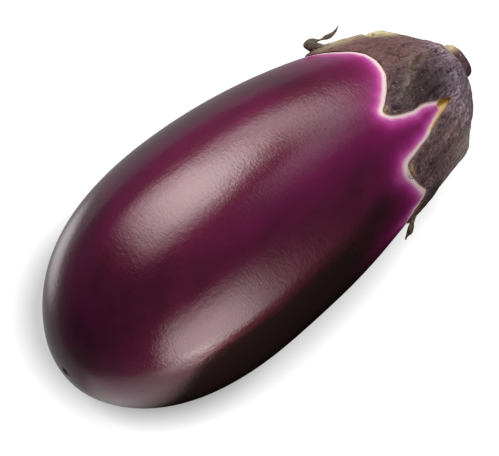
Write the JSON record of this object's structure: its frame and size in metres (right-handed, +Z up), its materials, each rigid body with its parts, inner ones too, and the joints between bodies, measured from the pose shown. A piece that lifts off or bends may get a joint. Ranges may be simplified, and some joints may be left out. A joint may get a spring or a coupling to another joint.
{
  "type": "eggplant",
  "caption": "Glossy oval eggplant lying on its side, with a lobed calyx cap wrapped over its stem end and a short cut stem.",
  "frame": {"origin": "centre of the small flat spot that the fruit rests on", "axes": "+X from the blossom end to the stem, along the fruit's length; +Z up, away from the surface it lies on"},
  "size_m": [0.201, 0.0915, 0.0913],
  "materials": {
    "skin": "waxy gloss, deep purple, paler magenta to cream beside the calyx",
    "sepal": "dry, leathery, wrinkled purple-brown with olive patches",
    "stalk": "matt maroon-brown with a pale corky cut end"
  },
  "bodies": {
    "root": {"fruit": "skin", "calyx": "sepal", "stem": "stalk"}
  },
  "joints": []
}
